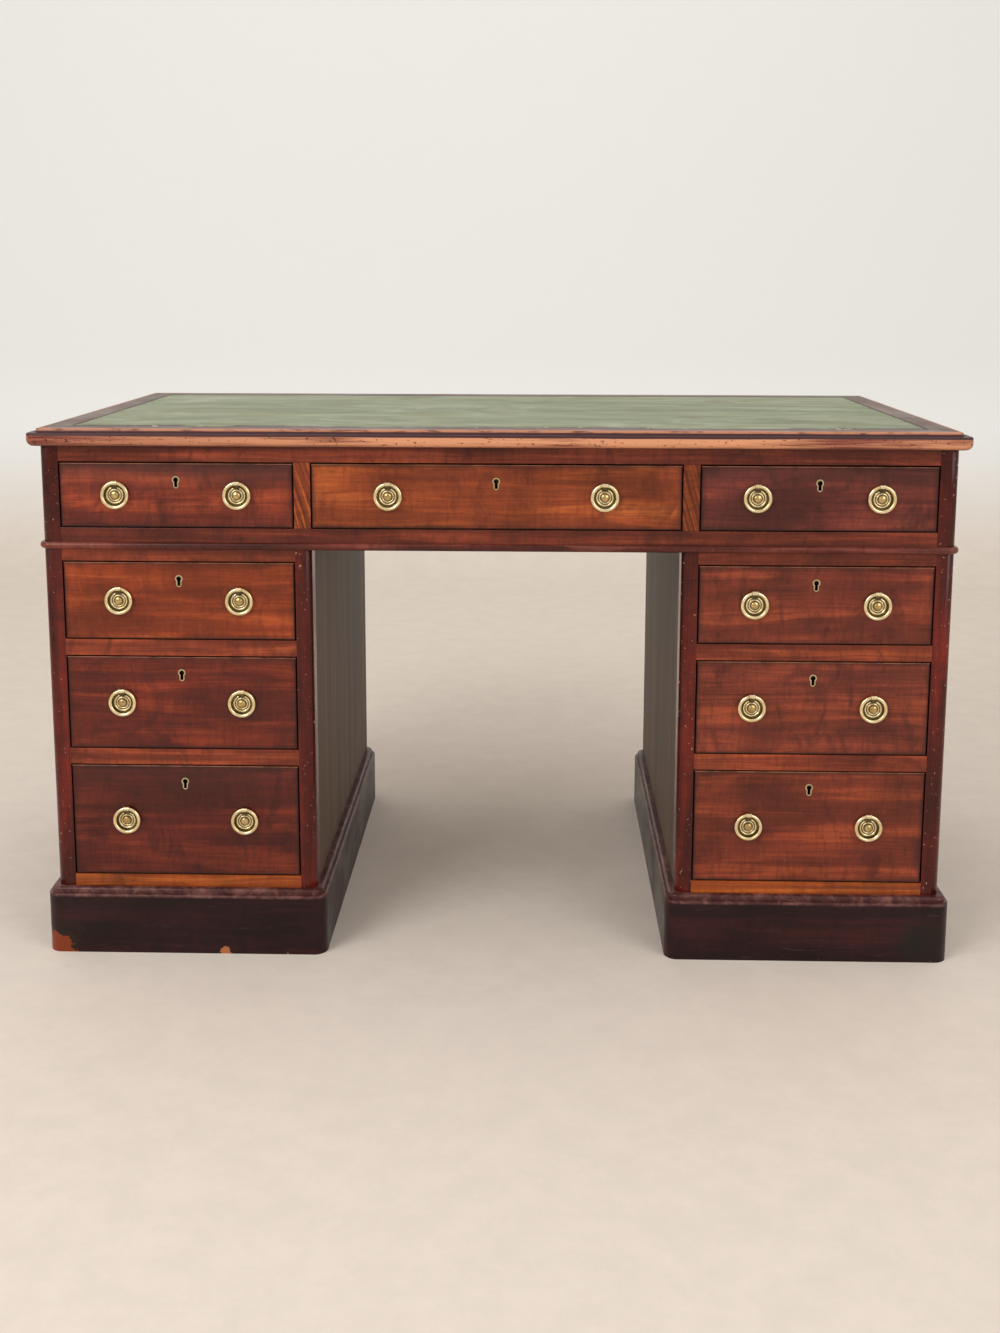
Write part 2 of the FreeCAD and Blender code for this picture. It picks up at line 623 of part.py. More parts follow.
def rosette(name, x, z):
    """Turned rosette with the lug that holds the ring."""
    pin_z = f"({z} + ring_radius)"
    pin_y = f"({FRONT} - ring_standoff)"
    knuckle = "(ring_pin_radius + pin_clearance + lug_wall)"
    lug_low = f"({x} - lug_width / 2)"
    arm_height = "(ring_radius - rosette_radius + 2 * rim_radius)"
    arm = board(f"{name}_arm", (lug_low, "lug_width"), (pin_y, "ring_standoff"),
                (f"{pin_z} - {arm_height}", arm_height))
    round_end = rod(f"{name}_knuckle", (lug_low, pin_y, pin_z), TO_RIGHT, knuckle, "lug_width")
    bore = rod(f"{name}_bore", (f"{lug_low} - overrun", pin_y, pin_z), TO_RIGHT,
               "ring_pin_radius + pin_clearance", "lug_width + 2 * overrun")
    lug = cut(f"{name}_lug", fuse(f"{name}_lug_blank", arm, round_end), bore)
    return fuse(f"{name}_rosette", turned_rosette(name, x, z), lug)


def ring(name, x, z):
    """Cast ring, necked down to a straight pin where it passes through the lug."""
    y = f"({FRONT} - ring_standoff)"
    wire = solid("Part::Torus", f"{name}_wire", (x, y, z), TO_FRONT,
                 Radius1="ring_radius", Radius2="ring_wire_radius")
    gap = "(lug_width + 2 * lug_side_gap)"
    reach = "(ring_wire_radius + overrun)"
    window = board(f"{name}_window", (f"{x} - {gap} / 2", gap), (f"{y} - {reach}", f"2 * {reach}"),
                   (f"{z} + ring_radius - {reach}", f"2 * {reach}"))
    pin_length = f"({gap} + 2 * lug_side_gap)"
    pin = rod(f"{name}_pin", (f"{x} - {pin_length} / 2", y, f"{z} + ring_radius"), TO_RIGHT,
              "ring_pin_radius", pin_length)
    return fuse(f"{name}_ring", cut(f"{name}_open_ring", wire, window), pin)


writing_top()
frieze()
waist_bead()
frieze_runners()
for pedestal_side, pedestal_word in ((-1, "left"), (1, "right")):
    pedestal(pedestal_side, pedestal_word)
    side_x = f"({pedestal_side} * {SIDE_CENTRE})"
    drawer(f"frieze_{pedestal_word}", side_x, FRIEZE_Z, SIDE_OPENING, "frieze_opening", "handle_spacing")
    drawer(f"{pedestal_word}_upper", side_x, UPPER_Z, SIDE_OPENING, "upper_opening", "handle_spacing")
    drawer(f"{pedestal_word}_middle", side_x, MIDDLE_Z, SIDE_OPENING, "middle_opening", "handle_spacing")
    drawer(f"{pedestal_word}_lower", side_x, LOWER_Z, SIDE_OPENING, "lower_opening", "handle_spacing")
drawer("frieze_centre", "0", FRIEZE_Z, "kneehole_width", "frieze_opening", "wide_handle_spacing")

doc.recompute()
for obj in doc.Objects:
    if "Invalid" in obj.State or "Error" in obj.State:
        raise RuntimeError(f"{obj.Label} failed: {obj.State}")
for label, obj in subparts.items():
    if obj.Shape.isNull() or not obj.Shape.isValid():
        raise RuntimeError(f"{label} has no valid shape")

os.makedirs("parts", exist_ok=True)
for label, obj in subparts.items():
    obj.Shape.exportStep(f"parts/{label}.step")
print(f"{len(subparts)} sub-parts, {sum(len(obj.Shape.Solids) for obj in subparts.values())} solids")
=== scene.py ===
# %% [markdown]
# A mahogany twin-pedestal desk
#
# The cabinet work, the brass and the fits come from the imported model, in metres, standing on the
# floor with its front towards -Y. This script gives every surface its finish, eases the sharp
# arrises of the frame as a plane and long use do, and sets the desk on a pale floor.

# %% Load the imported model
import math

import bmesh
import bpy
from mathutils import Matrix, Vector


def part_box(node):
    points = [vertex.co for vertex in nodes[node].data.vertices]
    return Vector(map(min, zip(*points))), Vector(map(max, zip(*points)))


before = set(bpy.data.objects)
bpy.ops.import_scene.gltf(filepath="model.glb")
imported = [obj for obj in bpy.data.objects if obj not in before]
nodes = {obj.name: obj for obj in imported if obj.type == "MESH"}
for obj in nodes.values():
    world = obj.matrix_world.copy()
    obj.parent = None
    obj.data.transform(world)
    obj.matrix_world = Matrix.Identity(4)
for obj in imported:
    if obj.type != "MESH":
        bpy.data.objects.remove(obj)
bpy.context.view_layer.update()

print(len(nodes), "nodes from the packed model")

# %% [markdown]
# The camera
#
# The desk was seen from about 0.2 m above its top, a little right of its middle and slightly
# turned. A camera can be placed by eye in the viewport, but here its place, turn and lens were
# solved from points of the desk, so that the render can be laid over the view and measured. The
# frame is shifted down instead of tilting the lens further, which keeps the uprights more upright.

# %% Camera
IMAGE_HEIGHT = 1333
FOCAL_PIXELS = 1455.7
SENSOR = 36.0
CAMERA_PLACE = Vector((0.0521, -2.3102, 0.9654))
YAW, PITCH, ROLL = -0.0235, -0.1541, 0.0023
OPTICAL_AXIS_ROW = 506.5

forward = Vector((math.sin(YAW) * math.cos(PITCH), math.cos(YAW) * math.cos(PITCH), math.sin(PITCH)))
level_right = Vector((math.cos(YAW), -math.sin(YAW), 0))
level_up = level_right.cross(forward)
right = math.cos(ROLL) * level_right + math.sin(ROLL) * level_up
up = right.cross(forward)

lens = bpy.data.cameras.new("camera")
lens.sensor_width = SENSOR
lens.lens = FOCAL_PIXELS / IMAGE_HEIGHT * SENSOR
lens.shift_y = (OPTICAL_AXIS_ROW - IMAGE_HEIGHT / 2) / IMAGE_HEIGHT
camera = bpy.data.objects.new("camera", lens)
turn = Matrix((right, up, -forward)).transposed()
camera.matrix_world = Matrix.Translation(CAMERA_PLACE) @ turn.to_4x4()
bpy.context.scene.collection.objects.link(camera)
bpy.context.scene.camera = camera
print("lens", round(lens.lens, 2), "mm, shift", round(lens.shift_y, 3))

# %% [markdown]
# Colours and nodes
#
# Colours are written as the sRGB hex values that a paint or a wood sample would be given, and one
# function turns them to the linear light that the renderer adds up. One more function adds a node,
# links or sets its inputs in their order, and gives back the socket that comes out. The same trees
# could be wired by hand in the node editor, but as steps in a list they can be read and repeated.

# %% Helpers for materials
MM = 0.001
SMOOTH = {"interpolation_type": "SMOOTHSTEP"}
COLOUR = {"data_type": "RGBA"}
PLUS = {"operation": "ADD"}
MINUS = {"operation": "SUBTRACT"}
TIMES = {"operation": "MULTIPLY"}
SIZE = {"operation": "ABSOLUTE"}


def linear(hex_colour):
    """An sRGB hex colour as linear RGBA."""
    channels = [int(hex_colour[i:i + 2], 16) / 255 for i in (1, 3, 5)]
    light = [c / 12.92 if c <= 0.04045 else ((c + 0.055) / 1.055) ** 2.4 for c in channels]
    return (*light, 1.0)


def add(tree, kind, *inputs, named=None, out=None, **settings):
    """A shader node with its settings, and its inputs linked or set. Returns one output socket."""
    made = tree.nodes.new("ShaderNode" + kind)
    for key, value in settings.items():
        setattr(made, key, value)
    pairs = list(zip([s for s in made.inputs if s.enabled], inputs))
    pairs += [(made.inputs[key], value) for key, value in (named or {}).items()]
    for socket, value in pairs:
        if isinstance(value, bpy.types.NodeSocket):
            tree.links.new(value, socket)
        else:
            socket.default_value = value
    return next((s for s in made.outputs if s.enabled and out in (None, s.name)), None)


def new_material(name):
    """An empty material, its node tree and the object's own coordinates, in metres."""
    material = bpy.data.materials.new(name)
    material.use_nodes = True
    material.node_tree.nodes.clear()
    return material, material.node_tree, add(material.node_tree, "TexCoord", out="Object")


def surface(tree, named):
    """Ends a material: the shader with these inputs, and the output."""
    add(tree, "OutputMaterial", add(tree, "BsdfPrincipled", named=named))


print("sRGB #808080 is", round(linear("#808080")[0], 3), "of full light")

# %% [markdown]
# Patterns
#
# Wood, leather and dirt are all uneven in the same few ways: blotches of a certain size, streaks
# that are longer than they are wide, and edges that wander. Scanned pictures would give that too,
# but only at one size and with a seam. Noise can be asked for in millimetres, so a pattern's size
# can be read straight from the line that uses it. Noise runs from 0 to 1 and is mostly between 0.3
# and 0.7: a pair such as 0.42, 0.68 says where a shade begins to show and where it is full.

# %% Helpers for patterns
def pattern(tree, where, along, across=None, axis="X", seed=0.0, detail=2.0, rough=0.5, twist=0.0):
    """Noise whose features are along metres long on an axis and across metres wide."""
    scale = [1 / (across or along)] * 3
    scale["XYZ".index(axis)] = 1 / along
    place = add(tree, "Mapping", where, (seed, seed * 0.7, seed * 1.3), named={"Scale": scale})
    settings = {"Scale": 1.0, "Detail": detail, "Roughness": rough, "Distortion": twist}
    return add(tree, "TexNoise", place, named=settings)


def lay(tree, colour, shade, value, low, high, share=1.0, within=1.0):
    """Lays a hex shade over a colour as a value passes smoothly from low to high, inside a mask."""
    mask = add(tree, "MapRange", value, low, high, 0.0, share, **SMOOTH)
    return add(tree, "Mix", add(tree, "Math", mask, within, **TIMES), colour, linear(shade), **COLOUR)


def ragged_by(tree, distance, value, reach):
    """A distance that wanders by up to half of reach either way, as a pattern's value says."""
    off = add(tree, "Math", value, 0.5, **MINUS)
    return add(tree, "Math", distance, add(tree, "Math", off, reach, **TIMES), **PLUS)


def both(tree, *masks):
    """Where all of these masks hold."""
    result = 1.0
    for mask in masks:
        result = add(tree, "Math", result, mask, **TIMES)
    return result


print("pattern helpers:", [helper.__name__ for helper in (pattern, lay, ragged_by, both)])

# %% [markdown]
# Stage
#
# A pale floor that runs up into a pale backdrop through one bend, as in a photographer's studio.
# A plane and a box would do, but they leave a corner line behind the desk. One strip of quads is as
# cheap, and its bend catches the light evenly.

# %% Floor and backdrop
# Lengths on the stage are in metres.
FLOOR_HALF_WIDTH = 20.0
FLOOR_FRONT = -20.0
BEND_START = 2.2
BEND_RADIUS = 0.7
WALL_HEIGHT = 5.0
BEND_STEPS = 16
SCREED_CLOUD = 60 * MM

turns = [math.pi / 2 * n / BEND_STEPS for n in range(BEND_STEPS + 1)]
bend = [(BEND_START + BEND_RADIUS * math.sin(a), BEND_RADIUS * (1 - math.cos(a))) for a in turns]
profile = [(FLOOR_FRONT, 0.0), *bend, (BEND_START + BEND_RADIUS, WALL_HEIGHT)]
mesh = bmesh.new()
rows = [[mesh.verts.new((x, y, z)) for x in (-FLOOR_HALF_WIDTH, FLOOR_HALF_WIDTH)] for y, z in profile]
for (a, b), (c, d) in zip(rows, rows[1:]):
    mesh.faces.new((a, b, d, c))
sweep_mesh = bpy.data.meshes.new("floor")
mesh.to_mesh(sweep_mesh)
mesh.free()
floor = bpy.data.objects.new("floor", sweep_mesh)
bpy.context.scene.collection.objects.link(floor)
for face in sweep_mesh.polygons:
    face.use_smooth = True
print("sweep of", len(sweep_mesh.polygons), "faces")

# %% [markdown]
# Troweled screed
#
# Screed is a fine mortar, smoothed with a steel trowel and sealed. It is matt, so its roughness is
# high and its shine low, and it is pale with soft clouds about 60 mm wide. They tell the eye that the
# floor is flat and how far it runs. The clouds fade out where the sweep turns up into the backdrop.

# %% Screed
BACKDROP_RISE = 0.5
CLOUD_RISE = 0.3
material, tree, where = new_material("troweled_screed_floor_and_backdrop")
height = add(tree, "SeparateXYZ", where, out="Z")
pale = lay(tree, linear("#e1d5c9"), "#f2f4f3", height, 0.0, BACKDROP_RISE)
mottle = add(tree, "MapRange", pattern(tree, where, SCREED_CLOUD, detail=5.0, rough=0.75),
             0.3, 0.7, 0.96, 1.02, **SMOOTH)
clouded = add(tree, "Mix", 1.0, pale, mottle, blend_type="MULTIPLY", **COLOUR)
on_floor = add(tree, "MapRange", height, CLOUD_RISE, 0.0, **SMOOTH)
pale = add(tree, "Mix", on_floor, pale, clouded, **COLOUR)
surface(tree, {"Base Color": pale, "Roughness": 0.9, "Specular IOR Level": 0.1})
sweep_mesh.materials.append(material)
print("screed clouds", SCREED_CLOUD / MM, "mm wide")

# %% [markdown]
# Lamps
#
# The desk stood in a bright room with daylight from all round and a little more from the left. One
# sun would throw hard shadows, so three large area lamps do it: a window high on the left, a weaker
# one on the right and a dim ceiling. A near-white world fills in the rest.

# %% Lamps and world
def soft_lamp(name, place, aim, size, watts):
    """A square area lamp of this size in metres, aimed at a point."""
    lamp = bpy.data.lights.new(name, "AREA")
    lamp.size = size
    lamp.energy = watts
    holder = bpy.data.objects.new(name, lamp)
    holder.location = place
    holder.rotation_euler = (Vector(aim) - Vector(place)).to_track_quat("-Z", "Y").to_euler()
    bpy.context.scene.collection.objects.link(holder)


DESK_MIDDLE = (0, 0, 0.45)
soft_lamp("window_left", (-2.6, -3.0, 2.9), DESK_MIDDLE, 2.2, 85)
soft_lamp("window_right", (2.8, -3.2, 2.2), DESK_MIDDLE, 2.4, 45)
soft_lamp("ceiling", (0, 0.3, 3.6), DESK_MIDDLE, 3.0, 18)
WORLD_STRENGTH = 0.74

world = bpy.data.worlds.new("studio")
bpy.context.scene.world = world
world.use_nodes = True
world.node_tree.nodes.clear()
glow = add(world.node_tree, "Background", linear("#f4f1ec"), WORLD_STRENGTH)
add(world.node_tree, "OutputWorld", glow)
bpy.context.scene.view_settings.view_transform = "Standard"
print("lamps:", [lamp.name for lamp in bpy.data.lights], "and a world of strength", WORLD_STRENGTH)

# %% [markdown]
# French-polished mahogany
#
# Mahogany is a red-brown hardwood with long dark pores, and shellac rubbed on with a pad gives it
# a deep, slightly uneven gloss. From a step away the eye reads broad smoky figure 20 to 40 mm wide,
# fine streaks 2 to 4 mm apart along the grain, a ripple across it, and blotches where the polish
# has darkened. One noise alone looks like cloud, so each of these is a pattern of its own size, and
# the colours are laid one over another as a finisher would. All of them are bent by one slow wander,
# as a tree's own growth bends its grain. The pores are really 0.2 mm wide, too fine for the render,
# so they are drawn about 0.8 mm wide.

# %% Mahogany grain
WARP = 18 * MM
WARP_ALONG, WARP_ACROSS = 260 * MM, 70 * MM
FIGURE_ALONG, FIGURE_ACROSS = 380 * MM, 30 * MM
STREAK_ALONG, STREAK_ACROSS = 150 * MM, 3.4 * MM
PORE_ALONG, PORE_ACROSS = 9 * MM, 0.8 * MM
RIPPLE_ALONG, RIPPLE_ACROSS = 34 * MM, 5.5 * MM
SWIRL_ALONG, SWIRL_ACROSS = 77 * MM, 44 * MM
BLOTCH_ALONG, BLOTCH_ACROSS = 136 * MM, 85 * MM


def grain(tree, where, axis, seed, tones, figure=1.0, width=FIGURE_ACROSS):
    """Colour, height and blotches of mahogany with its grain along an axis. Tones: middle, dark, light."""
    tone, dark, light = tones
    cross = "X" if axis == "Z" else "Z"
    wander = pattern(tree, where, WARP_ALONG, WARP_ACROSS, axis, seed)
    bent = add(tree, "VectorMath", where, ragged_by(tree, 0.0, wander, WARP), **PLUS)
    broad = pattern(tree, bent, FIGURE_ALONG, width, axis, seed, 3.0, 0.55, 0.7)
    streak = pattern(tree, bent, STREAK_ALONG, STREAK_ACROSS, axis, seed * 2, 4.0, 0.6)
    pore = pattern(tree, bent, PORE_ALONG, PORE_ACROSS, axis, seed * 3)
    ripple = pattern(tree, bent, RIPPLE_ALONG, RIPPLE_ACROSS, cross, seed, 3.0, 0.6, 0.4)
    swirl = pattern(tree, bent, SWIRL_ALONG, SWIRL_ACROSS, cross, seed * 4, 4.0, 0.6, 1.3)
    blotch = pattern(tree, where, BLOTCH_ALONG, BLOTCH_ACROSS, axis, seed, 4.0, 0.6, 0.4)
    colour = lay(tree, linear(tone), dark, broad, 0.38, 0.62, 0.75 * figure)
    colour = lay(tree, colour, light, broad, 0.50, 0.30, 0.75 * figure)
    colour = lay(tree, colour, dark, ripple, 0.46, 0.70, 0.40 * figure)
    colour = lay(tree, colour, light, ripple, 0.42, 0.25, 0.22 * figure)
    colour = lay(tree, colour, dark, streak, 0.42, 0.68, 0.45)
    pores = add(tree, "MapRange", pore, 0.58, 0.74, 0.0, 0.45, **SMOOTH)
    colour = add(tree, "Mix", pores, colour, linear("#1d0b07"), **COLOUR)
    colour = lay(tree, colour, dark, swirl, 0.52, 0.70, 0.70 * figure)
    cloud = add(tree, "MapRange", blotch, 0.30, 0.70, 0.64, 1.20, **SMOOTH)
    colour = add(tree, "Mix", 1.0, colour, cloud, blend_type="MULTIPLY", **COLOUR)
    height = add(tree, "Math", add(tree, "Math", streak, 0.3, **TIMES), pores, **MINUS)
    return colour, height, blotch


widths = {"figure": FIGURE_ACROSS, "streaks": STREAK_ACROSS, "pores": PORE_ACROSS}
print("widths in mm:", {name: round(width / MM, 1) for name, width in widths.items()})

# %% [markdown]
# The polish
#
# Shellac lies over the wood as a clear film about 0.1 mm thick. A coat layer on the shader stands
# for it: the wood keeps its depth, and the light slides over it. A real film could be a second
# mesh, but that would only add faces. Shellac has an IOR of about 1.5 and fresh polish a roughness
# near 0.2; an old film is crazed and cloudy, so it starts rougher, shines less than it could, and
# its roughness follows the same blotches as the colour. Knocks through the film show pale wood.

# %% Polish and knocks
SHELLAC_IOR = 1.5
FILM_SHINE = 0.2
COAT_ROUGHNESS = 0.18
FILM_DENT = 0.12 * MM
FILM_DENT_STRENGTH = 0.6
NICK = 5 * MM


def polished(tree, colour, height, blotch, gloss=0.30, coat=0.22):
    """Shellac over wood: a thin clear coat, cloudy where it is worn."""
    bump = add(tree, "Bump", named={"Height": height, "Distance": FILM_DENT,
                                     "Strength": FILM_DENT_STRENGTH})
    rough = add(tree, "MapRange", blotch, 0.3, 0.7, gloss - 0.05, gloss + 0.14, **SMOOTH)
    surface(tree, {"Base Color": colour, "Roughness": rough, "Normal": bump, "IOR": SHELLAC_IOR,
                   "Specular IOR Level": FILM_SHINE, "Coat Weight": coat,
                   "Coat Roughness": COAT_ROUGHNESS})


def nicks(tree, where, colour, amount, shade):
    """Small knocks where the polish has gone."""
    spots = pattern(tree, where, NICK, detail=3.0, rough=0.7, twist=0.5)
    return lay(tree, colour, shade, spots, 0.74 - amount, 0.78 - amount)


def mahogany(name, axis, seed, tones, figure=1.0, gloss=0.30, knocks=0.0, width=FIGURE_ACROSS, tilt=0.0):
    """Polished mahogany. Tilt leans its grain, in radians."""
    material, tree, where = new_material(name)
    where = add(tree, "VectorRotate", named={"Vector": where, "Angle": tilt}, rotation_type="Y_AXIS")
    colour, height, blotch = grain(tree, where, axis, seed, tones, figure, width)
    colour = nicks(tree, where, colour, knocks, "#c79a86")
    polished(tree, colour, height, blotch, gloss)
    return material


print("knocks about", NICK / MM, "mm wide")

# %% [markdown]
# Boards of the carcase
#
# The maker chose boards by where they show, so one recipe is mixed in seven tones. One material for
# the whole desk would be simpler, but then it would look cast in one piece: the eye finds the joints
# by the change of tone and by the turn of the grain, upright on the posts and along on the rails.

# %% Carcase boards
# Posts: dark upright boards, knocked pale here and there. They frame the bright fronts.
post_wood = mahogany("french_polished_mahogany_posts", "Z", 3.1, ("#5e150a", "#2c0905", "#832516"), 0.7,
                     0.26, 0.075)
# Side panels: wide veneer with broad, quiet figure. They are hardly seen from the front.
panel_wood = mahogany("french_polished_mahogany_side_panels", "Z", 1.9, ("#6a281b", "#35130d", "#863724"),
                      0.8, 0.28, width=60 * MM)
# Dividers between the frieze drawers: striped, its grain leaning, and brighter than the rails there.
divider_wood = mahogany("french_polished_striped_mahogany", "Z", 8.4, ("#a84e20", "#4e1a10", "#cf7434"),
                        width=6 * MM, tilt=0.30)
# Rails between the drawers: plainer and more orange than the fronts.
rail_wood = mahogany("french_polished_mahogany_rails", "X", 5.7, ("#8f3c20", "#4c1a10", "#ab522a"), 0.8,
                     width=16 * MM)
# Rails of the frieze: a darker copy of the rail wood, a painted shade under the overhang of the top.
shaded_frieze_rail_wood = mahogany("french_polished_mahogany_frieze_rails_painted_shade", "X", 7.3,
                            ("#7c321d", "#42170f", "#964626"), 0.8, width=16 * MM)
# Lowest rails: the brightest and most orange, so they stand out above the dark plinths.
bottom_rail_wood = mahogany("french_polished_mahogany_bottom_rails", "X", 6.9,
                            ("#a85018", "#6c2c10", "#c46c2c"), 0.7, 0.28, width=12 * MM)
# Half-round waist bead: rubbed pinkish by hands and cloths, a thin light line round the desk.
bead_wood = mahogany("rubbed_mahogany_waist_bead", "X", 2.2, ("#6c2c20", "#38130e", "#a05c48"), 0.8, 0.24)
print(len(bpy.data.materials), "materials so far")

# %% [markdown]
# Distances on a piece
#
# Dirt gathers near edges, and wear follows mouldings, so a finish has to know where on the piece it
# is. Painting masks by hand would need a picture file. The distance from the edges of the node's
# own box does the same with plain numbers.

# %% Helpers for places on a piece
def edge_distance(tree, parts, low, high, axes):
    """Distance to the nearest edge of a box, over the axes named."""
    nearest = None
    for axis in axes:
        n = "XYZ".index(axis)
        middle, half = (low[n] + high[n]) / 2, (high[n] - low[n]) / 2
        off = add(tree, "Math", add(tree, "Math", parts[axis], middle, **MINUS), **SIZE)
        inside = add(tree, "Math", half, off, **MINUS)
        nearest = inside if nearest is None else add(tree, "Math", nearest, inside, operation="MINIMUM")
    return nearest


def along_piece(tree, parts, on_side):
    """Coordinates whose X runs along a moulding: the desk's X in front, its Y on the sides."""
    swing = both(tree, on_side, add(tree, "Math", parts["Y"], parts["X"], **MINUS))
    run = add(tree, "Math", parts["X"], swing, **PLUS)
    across = add(tree, "Math", parts["Y"], swing, **MINUS)
    return add(tree, "CombineXYZ", run, across, parts["Z"])


centre_low, centre_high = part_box("frieze_centre_front")
print("the centre front is", [round(size / MM, 1) for size in centre_high - centre_low], "mm")

# %% [markdown]
# Drawer fronts
#
# Each front was sawn from its own board, so each has its own tone and its own figure. One material
# shifted along for each front would give nine figures but one tone, so a loop gives every front a
# material of its own from one recipe. Dirt and old polish gather in the last few millimetres before
# the edges. The last 2.4 mm is near black: dirt packed in the rounded edges and a painted shade of
# the gaps round the drawer. A pale line along the top arris is a painted highlight, where that edge
# catches the light. Some fronts are darker towards their top edge. The dark edges are what makes
# the drawers read as separate pieces.

# %% Drawer fronts
FRONT_TONES = {
    "frieze_left_front": ("#923a22", "#451a16", "#b0532e"),
    "frieze_centre_front": ("#a04a20", "#5e2414", "#bd662f"),
    "frieze_right_front": ("#7a342a", "#3a1815", "#94462e"),
    "left_upper_front": ("#a3431b", "#64240f", "#bf5f2a"),
    "left_middle_front": ("#782a16", "#3d130e", "#96401f"),
    "left_lower_front": ("#6b2415", "#36100c", "#84351d"),
    "right_upper_front": ("#8c3a24", "#4a1c14", "#a84f2c"),
    "right_middle_front": ("#843824", "#441a13", "#a04828"),
    "right_lower_front": ("#883820", "#481a12", "#a44c26"),
}
GRIME_WIDTH = 9 * MM
GRIME_WANDER = 14 * MM
GRIME_LUMP = 24 * MM
FRONT_FIGURE = 0.82
# Width of the painted highlight along the top arris.
ARRIS_HIGHLIGHT_WIDTH = 1.6 * MM
# Near-black rim: dirt packed in the rounded edges and a painted shade of the gaps.
RIM_DIRT_AND_GAP_SHADE = 2.4 * MM
FACE_DEPTH = 3 * MM
# Some fronts are painted darker towards their top edge, to about this depth.
TOP_DARKENING_DEPTH = 48 * MM
TOP_DARKENING = {"frieze_left_front": 0.8, "frieze_right_front": 0.35, "left_lower_front": 0.25}


def front_wood(node, seed):
    """The finish of one drawer front, with its own figure."""
    low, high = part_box(node)
    material, tree, where = new_material(f"french_polished_mahogany_{node}")
    parts = add(tree, "SeparateXYZ", where).node.outputs
    colour, height, blotch = grain(tree, where, "X", seed, FRONT_TONES[node], FRONT_FIGURE)
    ragged = pattern(tree, where, GRIME_LUMP, detail=3.0, rough=0.6)
    rim = edge_distance(tree, parts, low, high, "XZ")
    edge = ragged_by(tree, rim, ragged, GRIME_WANDER)
    on_face = add(tree, "MapRange", parts["Y"], low.y + FACE_DEPTH, low.y + FACE_DEPTH / 2, **SMOOTH)
    from_top = add(tree, "Math", high.z, parts["Z"], **MINUS)
    # Darker towards the top edge on some fronts, to a wandering depth.
    darkened_from_top = ragged_by(tree, from_top, blotch, TOP_DARKENING_DEPTH)
    colour = lay(tree, colour, "#4c2a25", darkened_from_top, TOP_DARKENING_DEPTH, 0.0, TOP_DARKENING.get(node, 0.0), on_face)
    colour = lay(tree, colour, "#2a100c", edge, GRIME_WIDTH, 0.0, 0.55, on_face)
    # The last 2.4 mm before the edges: packed dirt and a painted shade of the gaps round the drawer.
    colour = lay(tree, colour, "#140604", rim, RIM_DIRT_AND_GAP_SHADE, 0.3 * RIM_DIRT_AND_GAP_SHADE, 0.85, on_face)
    # A pale line along the top arris, broken in places: a painted highlight where that edge catches the
    # light.
    broken_highlight = both(tree, on_face, add(tree, "MapRange", ragged, 0.34, 0.62, 0.30, 0.75, **SMOOTH))
    colour = lay(tree, colour, "#b9795c", from_top, ARRIS_HIGHLIGHT_WIDTH, 0.2 * ARRIS_HIGHLIGHT_WIDTH, 0.75, broken_highlight)
    polished(tree, nicks(tree, where, colour, 0.02, "#1c0a07"), height, blotch)
    return material


front_materials = {node: front_wood(node, 1.7 * n + 0.9) for n, node in enumerate(FRONT_TONES)}
print(len(front_materials), "drawer fronts, each with its own board")

# %% [markdown]
# Writing top
#
# The border is mahogany too, greyed by light on its flat and rubbed back to pale wood along the
# nose, where sleeves and chairs catch it. The cove above the nose, the top of the nose and its
# underside are painted dark purple-brown: a painted shade, so that the cove reads deeper. The wear
# and the shade could be drawn on a texture, but the zones of a moulding are set by how far out and
# how high a point lies, so both are read from the coordinates. The flat is rubbed along its front
# only, and the nose is barest from a little left of the middle to the right end.

# %% Writing top border
border_low, border_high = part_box("writing_top_border")
NOSE_INSET = 13.5 * MM
NOSE_TOP = 15 * MM
LIP_HEIGHT = 3.6 * MM
SLEEVE_WIDTH = 22 * MM
SLEEVE_EDGE = 4 * MM
# The bottom of the nose keeps the painted cove shade: a painted shade under the nose.
NOSE_UNDERSIDE = 3 * MM
NOSE_SOFT = 0.7 * MM
COVE_SHADE_WANDER = 3 * MM
BARE_WANDER = -1.2
WEAR_FROM, WEAR_TO = -0.66, -0.10
# Each pattern's size along and across the moulding.
DRIFT = 260 * MM, 60 * MM
PATCH = 34 * MM, 6 * MM
STROKE = 130 * MM, 3.5 * MM
DENT = 7 * MM, 3 * MM
flat_x, flat_y = border_high.x - NOSE_INSET, border_high.y - NOSE_INSET


